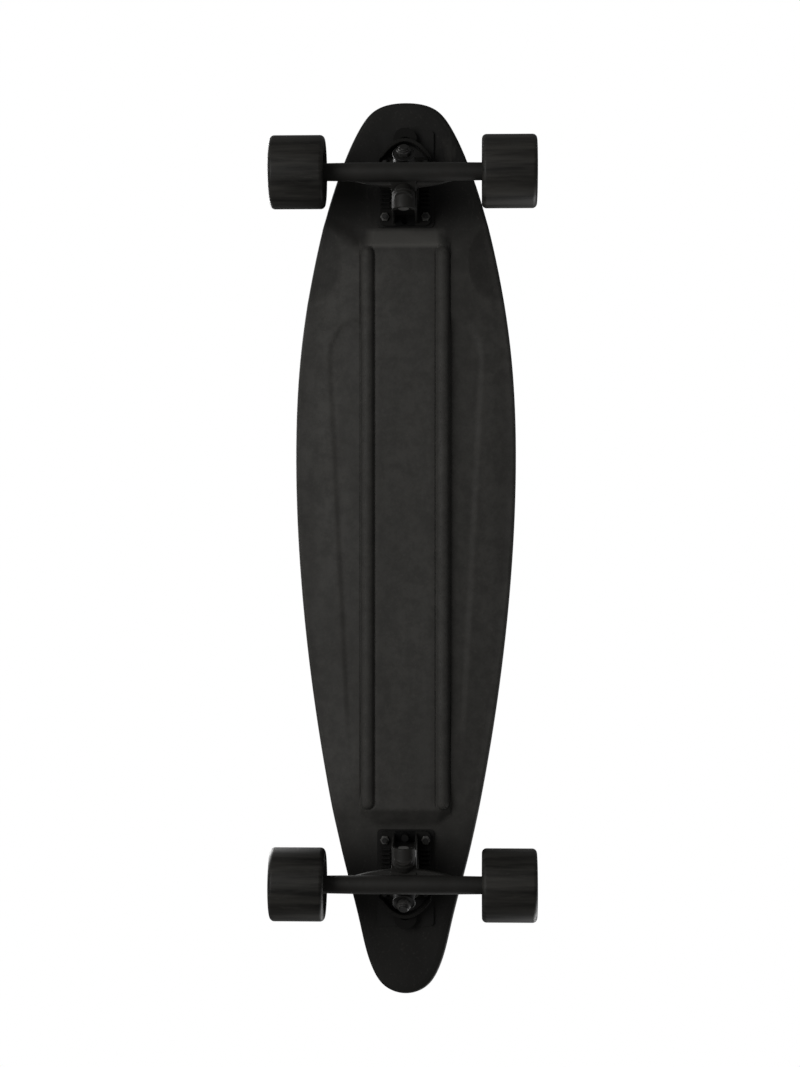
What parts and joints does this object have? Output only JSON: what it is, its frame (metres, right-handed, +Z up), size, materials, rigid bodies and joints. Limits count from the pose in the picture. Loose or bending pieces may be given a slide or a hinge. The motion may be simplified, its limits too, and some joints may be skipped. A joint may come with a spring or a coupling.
{
  "type": "electric skateboard",
  "caption": "Pintail longboard with reverse kingpin trucks, an in-deck battery bay and hub-motor rear wheels.",
  "frame": {"origin": "on the ground below the middle of the deck, with the board standing on its wheels", "axes": "+X towards the nose, +Y to the rider's left, +Z up"},
  "size_m": [0.904, 0.262, 0.1236],
  "materials": {
    "deck_shell": "fine-grained moulded composite",
    "grip": "coarse grit",
    "lid_plastic": "fine texture",
    "seal_rubber": "smooth",
    "black_steel": "black oxide",
    "dull_steel": "dull zinc plate",
    "cup_urethane": "smooth",
    "bright_steel": "zinc plated",
    "cast_black": "satin powder coat on cast aluminium",
    "riser_rubber": "smooth",
    "bushing_urethane": "smooth, slightly glossy",
    "wheel_urethane": "smooth, slightly glossy",
    "core_plastic": "glass-filled nylon",
    "rotor_metal": "black anodised",
    "magnet": "nickel plated",
    "laminations": "varnished",
    "copper": "enamelled copper wire",
    "cell_wrap": "heat-shrink film",
    "nickel": "bright",
    "circuit_board": "solder mask",
    "spreader": "milled",
    "lead_silicone": "silicone",
    "button_plastic": "polished",
    "gauge_lens": "tinted lens"
  },
  "bodies": {
    "board": {"deck": "deck_shell", "bay_lid": "lid_plastic", "bay_seal": "seal_rubber", "lid_screws": "black_steel", "grip_tape": "grip", "battery_cells": "cell_wrap", "cell_links": "nickel", "battery_cradle": "lid_plastic", "battery_manager": "circuit_board", "heat_spreader": "spreader", "motor_controller": "circuit_board", "radio_board": "circuit_board", "power_leads": "lead_silicone", "motor_lead_gland": "seal_rubber", "control_panel": "lid_plastic", "cap_pin": "bright_steel", "gauge_window": "gauge_lens", "power_switch": "lid_plastic", "charge_socket": "bright_steel", "riser_pads": "riser_rubber", "pivot_cups": "cup_urethane", "kingpins": "black_steel", "kingpin_nuts": "dull_steel", "cup_washers": "black_steel", "truck_bolts": "black_steel", "truck_nuts": "dull_steel", "front_baseplate": "cast_black", "front_board_bushing": "bushing_urethane", "front_road_bushing": "bushing_urethane", "rear_baseplate": "cast_black", "rear_board_bushing": "bushing_urethane", "rear_road_bushing": "bushing_urethane"},
    "front_hanger": {"front_hanger": "cast_black", "front_axle": "bright_steel", "front_bearing_inner_rings": "bright_steel", "front_speed_washers": "bright_steel", "front_axle_nuts": "bright_steel"},
    "rear_hanger": {"rear_hanger": "cast_black", "rear_axle": "bright_steel", "rear_bearing_inner_rings": "bright_steel", "rear_washers": "bright_steel", "rear_axle_nuts": "bright_steel", "stator_cores": "laminations", "stator_coils": "copper"},
    "power_button": {"power_button": "button_plastic"},
    "charge_cap": {"charge_cap": "seal_rubber"},
    "front_left_wheel": {"front_left_tyre": "wheel_urethane", "front_left_core": "core_plastic", "front_left_bearings": "bright_steel"},
    "rear_left_wheel": {"rear_left_tyre": "wheel_urethane", "rear_left_rotor": "rotor_metal", "rear_left_magnets": "magnet", "rear_left_bearings": "bright_steel"},
    "front_right_wheel": {"front_right_tyre": "wheel_urethane", "front_right_core": "core_plastic", "front_right_bearings": "bright_steel"},
    "rear_right_wheel": {"rear_right_tyre": "wheel_urethane", "rear_right_rotor": "rotor_metal", "rear_right_magnets": "magnet", "rear_right_bearings": "bright_steel"}
  },
  "joints": [
    {"name": "front_steer", "type": "hinge", "parent": "board", "child": "front_hanger", "pos_m": [0.377, 0, 0.065], "axis": [-0.7431, 0, -0.6691], "range_deg": [-20, 20], "stiffness_Nm_per_rad": 57, "deforming": ["front_board_bushing", "front_road_bushing"]},
    {"name": "rear_steer", "type": "hinge", "parent": "board", "child": "rear_hanger", "pos_m": [-0.337, 0, 0.065], "axis": [0.7431, 0, -0.6691], "range_deg": [-20, 20], "stiffness_Nm_per_rad": 57, "deforming": ["rear_board_bushing", "rear_road_bushing"]},
    {"name": "front_left_spin", "type": "hinge", "parent": "front_hanger", "child": "front_left_wheel", "pos_m": [0.37, 0, 0.036], "axis": [0, 1, 0], "continuous": true},
    {"name": "front_right_spin", "type": "hinge", "parent": "front_hanger", "child": "front_right_wheel", "pos_m": [0.37, 0, 0.036], "axis": [0, 1, 0], "continuous": true},
    {"name": "rear_left_spin", "type": "hinge", "parent": "rear_hanger", "child": "rear_left_wheel", "pos_m": [-0.33, 0, 0.036], "axis": [0, 1, 0], "continuous": true},
    {"name": "rear_right_spin", "type": "hinge", "parent": "rear_hanger", "child": "rear_right_wheel", "pos_m": [-0.33, 0, 0.036], "axis": [0, 1, 0], "continuous": true},
    {"name": "power_button_press", "type": "slide", "parent": "board", "child": "power_button", "axis": [0, 0, -1], "range_m": [0, 0.001], "stiffness_N_per_m": 900},
    {"name": "charge_cap_hinge", "type": "hinge", "parent": "board", "child": "charge_cap", "pos_m": [-0.2495, -0.02, 0.11775], "axis": [0, -1, 0], "range_deg": [0, 110]}
  ]
}
